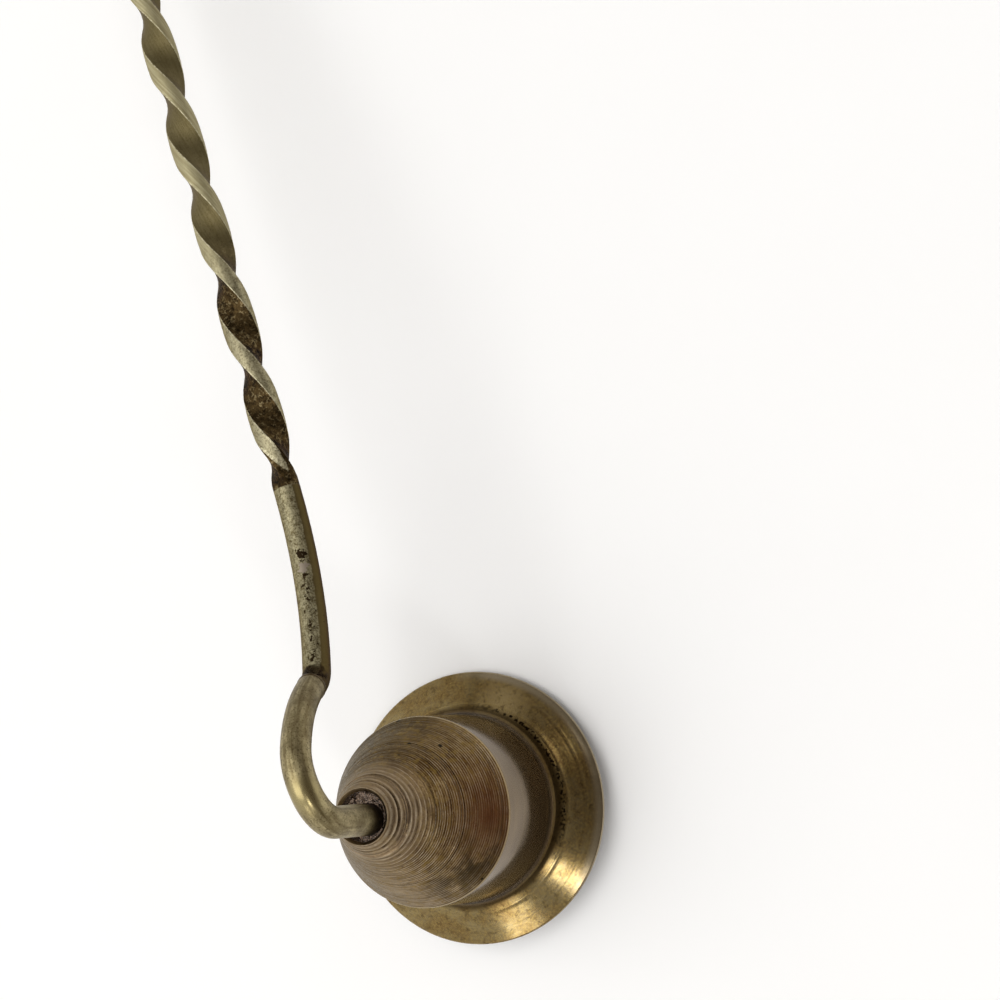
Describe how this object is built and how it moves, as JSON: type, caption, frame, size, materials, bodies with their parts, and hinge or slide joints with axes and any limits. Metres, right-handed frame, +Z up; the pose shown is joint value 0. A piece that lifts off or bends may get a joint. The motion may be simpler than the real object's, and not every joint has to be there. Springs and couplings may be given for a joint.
{
  "type": "candle snuffer",
  "caption": "Brass candle snuffer: a turned conical bell with a flared brim, free to turn on a swan-necked rod whose twisted handle ends in a hanging eye.",
  "frame": {"origin": "bottom centre of the box around the snuffer as it lies on a table, on the edge of its brim and its hanging eye", "axes": "+X from the bell towards the hanging eye, +Z up; the bell's own axis leans about 7 degrees from +Z towards +X"},
  "size_m": [0.2476, 0.032, 0.0463],
  "materials": {
    "turned_brass": "turned and aged, satin on the cone and brim, polished on the wall",
    "bent_brass_rod": "aged satin with dark specks",
    "washer_brass": "sooty satin",
    "braze": "dull, darkened"
  },
  "bodies": {
    "handle": {"twisted_handle": "bent_brass_rod", "neck_braze": "braze", "gooseneck": "bent_brass_rod", "rivet_washer": "washer_brass"},
    "snuffer_bell": {"bell": "turned_brass"}
  },
  "joints": [
    {"name": "bell_swivel", "type": "hinge", "parent": "handle", "child": "snuffer_bell", "pos_m": [-0.10424, 0, 0.03241], "axis": [0.121, 0, 0.9926], "continuous": true}
  ]
}
